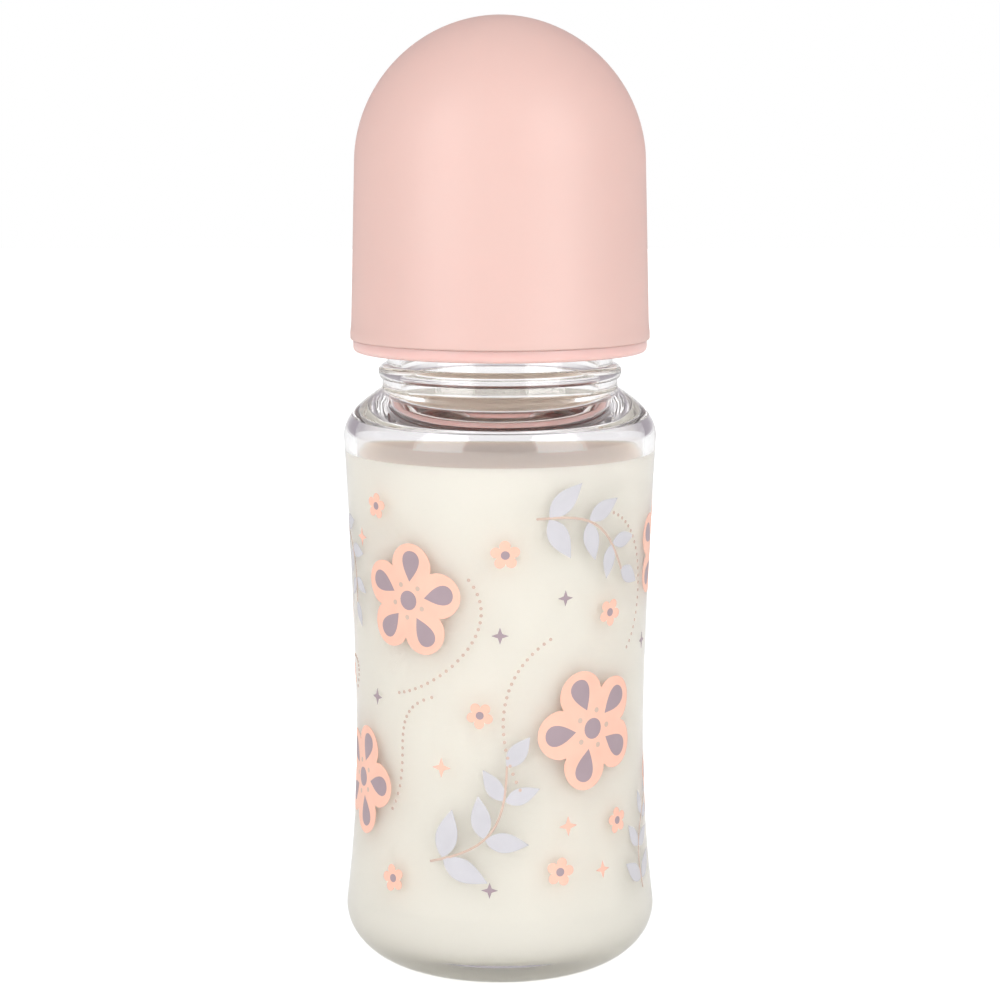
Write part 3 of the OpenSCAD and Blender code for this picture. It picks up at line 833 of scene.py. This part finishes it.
def calc(tree, operation, a, b):
    """Math node on two sockets, or on a socket and a number."""
    node = tree.nodes.new("ShaderNodeMath")
    node.operation = operation
    for slot, value in zip(node.inputs, (a, b)):
        if isinstance(value, float):
            slot.default_value = value
        else:
            tree.links.new(value, slot)
    return node.outputs["Value"]


def light_path_mix(tree, plain, seen):
    """Mixes two shaders: seen for what the camera sees, by itself or in glass and gloss, and plain for
    what lights a surface, even a surface behind glass."""
    path = tree.nodes.new("ShaderNodeLightPath").outputs
    looked_at = calc(tree, "MAXIMUM", path["Is Camera Ray"], path["Is Glossy Ray"])
    looked_at = calc(tree, "MAXIMUM", looked_at, path["Is Transmission Ray"])
    # True at a diffuse depth of 0, before any surface has scattered the ray
    not_lighting = calc(tree, "LESS_THAN", path["Diffuse Depth"], 0.5)
    mix = tree.nodes.new("ShaderNodeMixShader")
    tree.links.new(calc(tree, "MULTIPLY", looked_at, not_lighting), mix.inputs["Fac"])
    tree.links.new(plain, mix.inputs[1])
    tree.links.new(seen, mix.inputs[2])
    return mix.outputs["Shader"]


# Plain light on surfaces, and on surfaces behind glass
WORLD_LIGHT, WORLD_LIGHT_IN_GLASS = 0.66, 0.92
# Softboxes beside the camera: azimuth in degrees, the rest in metres
LAMP_RADIANCE, LAMP_GAIN_IN_GLOSS = 2.6, 3.0
LAMP_AZIMUTH, LAMP_DISTANCE, LAMP_WIDTH = 46, 1.0, 0.69
LAMP_LOW, LAMP_HIGH = -0.05, 1.19
# Room that glass and gloss show: it turns from its colour to white as a direction's Y passes these ends
ROOM_COLOUR, ROOM_ENDS = linear(170, 163, 170), (0.95, 0.9994)
FLOOR_COLOUR, FLOOR_REACH, FLOOR_DROP = (0.93, 0.93, 0.93, 1), 3.0, 0.0002
FLOOR_GLOW, FLOOR_GLOW_IN_GLASS = 0.6, 0.1
# Camera in metres, its tilt down in degrees, and its lens and sensor in millimetres
CAMERA_AT, CAMERA_TILT, CAMERA_LENS, CAMERA_SENSOR = (0, -0.520, 0.172), 8.39, 92.37, 36
# Thick clear glass passes light on many times before it leaves
LIGHT_BOUNCES = {
    "max_bounces": 32, "diffuse_bounces": 8, "glossy_bounces": 16, "transmission_bounces": 32}


def world():
    """White studio: plain light for surfaces, white behind the object, and a dimmer room in front."""
    studio = bpy.data.worlds.new("studio")
    bpy.context.scene.world = studio
    studio.use_nodes = True
    tree = studio.node_tree
    path = tree.nodes.new("ShaderNodeLightPath")
    plain = tree.nodes["Background"]
    plain.inputs["Color"].default_value = (1, 1, 1, 1)
    in_glass = calc(tree, "MINIMUM", path.outputs["Transmission Depth"], 1.0)
    in_glass = calc(tree, "MULTIPLY", in_glass, WORLD_LIGHT_IN_GLASS - WORLD_LIGHT)
    tree.links.new(calc(tree, "ADD", in_glass, WORLD_LIGHT), plain.inputs["Strength"])
    seen = tree.nodes.new("ShaderNodeBackground")
    place = tree.nodes.new("ShaderNodeTexCoord")
    split = tree.nodes.new("ShaderNodeSeparateXYZ")
    behind = tree.nodes.new("ShaderNodeMapRange")
    behind.interpolation_type = "SMOOTHSTEP"
    behind.inputs["From Min"].default_value, behind.inputs["From Max"].default_value = ROOM_ENDS
    tree.links.new(place.outputs["Generated"], split.inputs["Vector"])
    tree.links.new(split.outputs["Y"], behind.inputs["Value"])
    white = calc(tree, "MAXIMUM", behind.outputs["Result"], path.outputs["Is Camera Ray"])
    add_tones(tree, white, seen.inputs["Color"], ROOM_COLOUR, (1, 1, 1, 1), start=0, end=1)
    out = light_path_mix(tree, plain.outputs["Background"], seen.outputs["Background"])
    tree.links.new(out, tree.nodes["World Output"].inputs["Surface"])


def floor():
    """Pale floor that keeps the object's shadow and is white where it is seen."""
    mesh = bpy.data.meshes.new("floor")
    corners = [(FLOOR_REACH * x, FLOOR_REACH * y, 0) for x, y in ((-1, -1), (1, -1), (1, 1), (-1, 1))]
    mesh.from_pydata(corners, [], [(0, 1, 2, 3)])
    material, tree, shader = principled("floor", {
        "Base Color": FLOOR_COLOUR, "Roughness": 0.9, "Specular IOR Level": 0.1})
    glow = tree.nodes.new("ShaderNodeEmission")
    path = tree.nodes.new("ShaderNodeLightPath")
    level = tree.nodes.new("ShaderNodeMapRange")
    level.inputs["To Min"].default_value = FLOOR_GLOW_IN_GLASS
    level.inputs["To Max"].default_value = FLOOR_GLOW
    tree.links.new(path.outputs["Is Camera Ray"], level.inputs["Value"])
    tree.links.new(level.outputs["Result"], glow.inputs["Strength"])
    lit = tree.nodes.new("ShaderNodeAddShader")
    tree.links.new(shader.outputs["BSDF"], lit.inputs[0])
    tree.links.new(glow.outputs["Emission"], lit.inputs[1])
    out = light_path_mix(tree, shader.outputs["BSDF"], lit.outputs["Shader"])
    tree.links.new(out, tree.nodes["Material Output"].inputs["Surface"])
    mesh.materials.append(material)
    obj = bpy.data.objects.new("floor", mesh)
    bpy.context.scene.collection.objects.link(obj)
    obj.location.z = -FLOOR_DROP


def softbox(name, azimuth):
    """Upright softbox beside the camera, aimed at the bottle. Azimuth is from the camera's side."""
    height = LAMP_HIGH - LAMP_LOW
    lamp = bpy.data.lights.new(name, "AREA")
    lamp.shape = "RECTANGLE"
    lamp.size, lamp.size_y = LAMP_WIDTH, height
    lamp.energy = LAMP_RADIANCE * math.pi * LAMP_WIDTH * height
    lamp.use_nodes = True
    tree = lamp.node_tree
    path = tree.nodes.new("ShaderNodeLightPath")
    gain = calc(tree, "MULTIPLY", path.outputs["Is Glossy Ray"], LAMP_GAIN_IN_GLOSS - 1)
    tree.links.new(calc(tree, "ADD", gain, 1.0), tree.nodes["Emission"].inputs["Strength"])
    obj = bpy.data.objects.new(name, lamp)
    bpy.context.scene.collection.objects.link(obj)
    a = math.radians(azimuth)
    obj.location = (LAMP_DISTANCE * math.sin(a), -LAMP_DISTANCE * math.cos(a),
                    (LAMP_LOW + LAMP_HIGH) / 2)
    aim = Vector((-obj.location.x, -obj.location.y, 0))
    obj.rotation_euler = aim.to_track_quat("-Z", "Y").to_euler()


def camera():
    """Camera at the photograph's place: in front, a little above the bottle's middle."""
    data = bpy.data.cameras.new("camera")
    data.sensor_width = CAMERA_SENSOR
    data.lens = CAMERA_LENS
    data.clip_start, data.clip_end = 0.01, 20
    obj = bpy.data.objects.new("camera", data)
    bpy.context.scene.collection.objects.link(obj)
    obj.location = CAMERA_AT
    obj.rotation_euler = (math.radians(90 - CAMERA_TILT), 0, 0)
    bpy.context.scene.camera = obj


# ---------------------------------------------------------------- build

bpy.context.scene.view_settings.view_transform = "Standard"
for name, most in LIGHT_BOUNCES.items():
    setattr(bpy.context.scene.cycles, name, most)

for piece, body, node, slot in (
        (glass_bottle(), "bottle", "glass_bottle", "glass"),
        (milk(), "bottle", "milk", "milk"),
        (teat(), "teat", "teat", "silicone"),
        (screw_ring(), "ring", "screw_ring", "ring_plastic"),
        (protective_cap(), "cap", "protective_cap", "cap_plastic")):
    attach(piece, body)
    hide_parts(node)

all_print()
world()
floor()
softbox("softbox_left", -LAMP_AZIMUTH)
softbox("softbox_right", LAMP_AZIMUTH)
camera()
